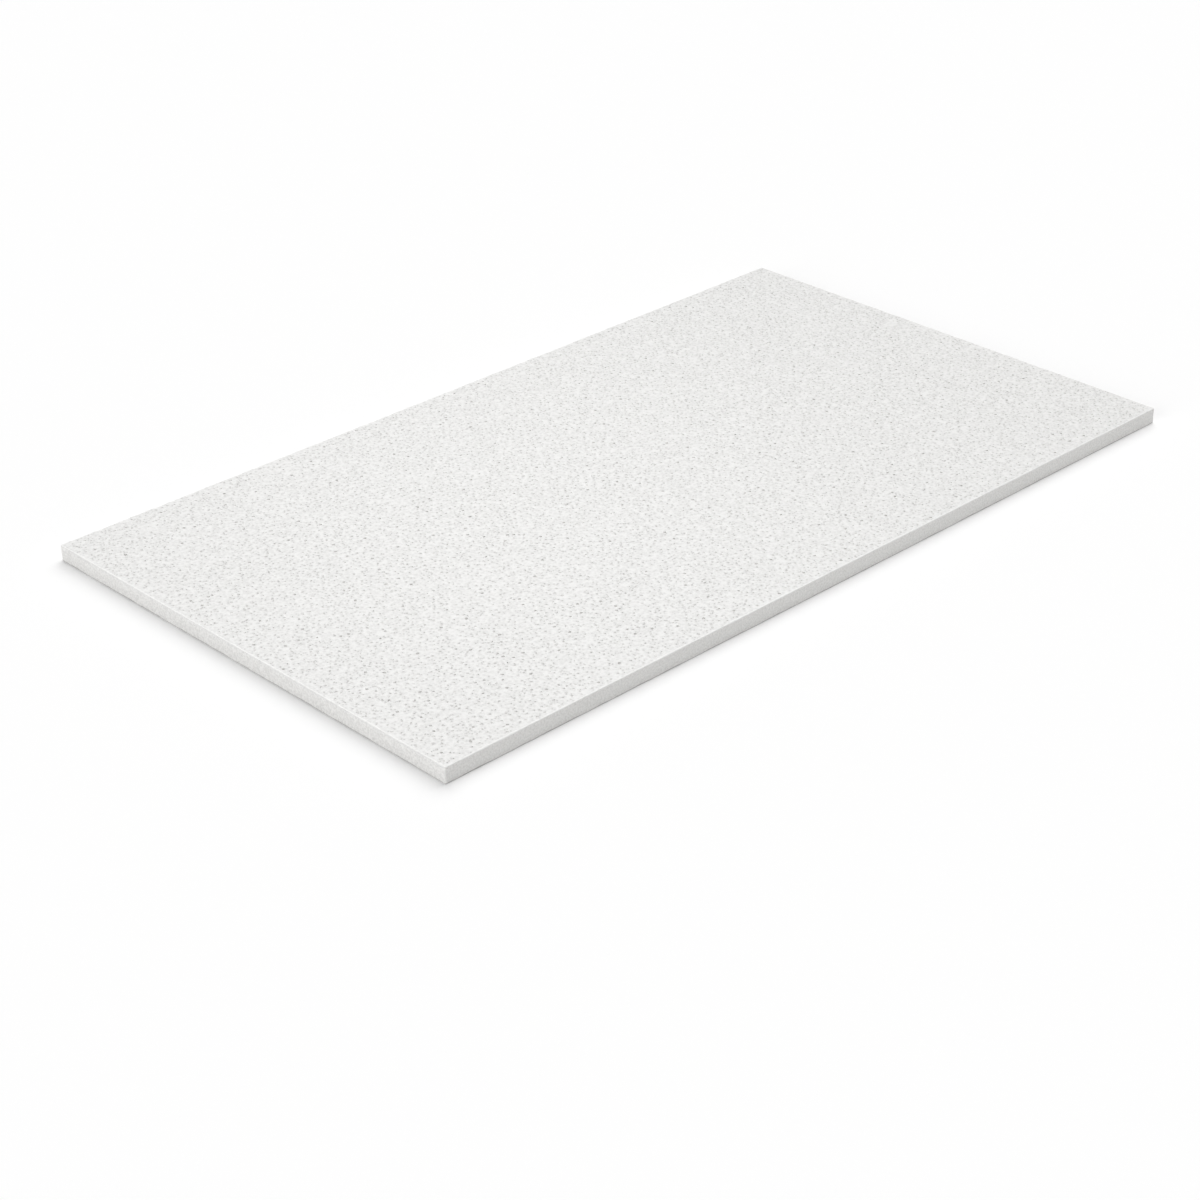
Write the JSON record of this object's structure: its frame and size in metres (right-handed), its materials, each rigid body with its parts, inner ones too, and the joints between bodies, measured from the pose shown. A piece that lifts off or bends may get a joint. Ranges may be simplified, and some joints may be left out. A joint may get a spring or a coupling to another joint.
{
  "type": "drywall sheet",
  "caption": "Thick square-edged gypsum sheet lying flat on its back, with fine pinholes all over its white face, lightly worn arrises and slightly rounded corners.",
  "frame": {"origin": "middle of the back, which lies on the floor", "axes": "+X along the length, +Y across the width, +Z out of the pinholed face, which is up when the sheet lies flat"},
  "size_m": [1.05, 0.6, 0.018],
  "materials": {
    "gypsum_board": "matte"
  },
  "bodies": {
    "root": {"drywall_sheet": "gypsum_board"}
  },
  "joints": []
}
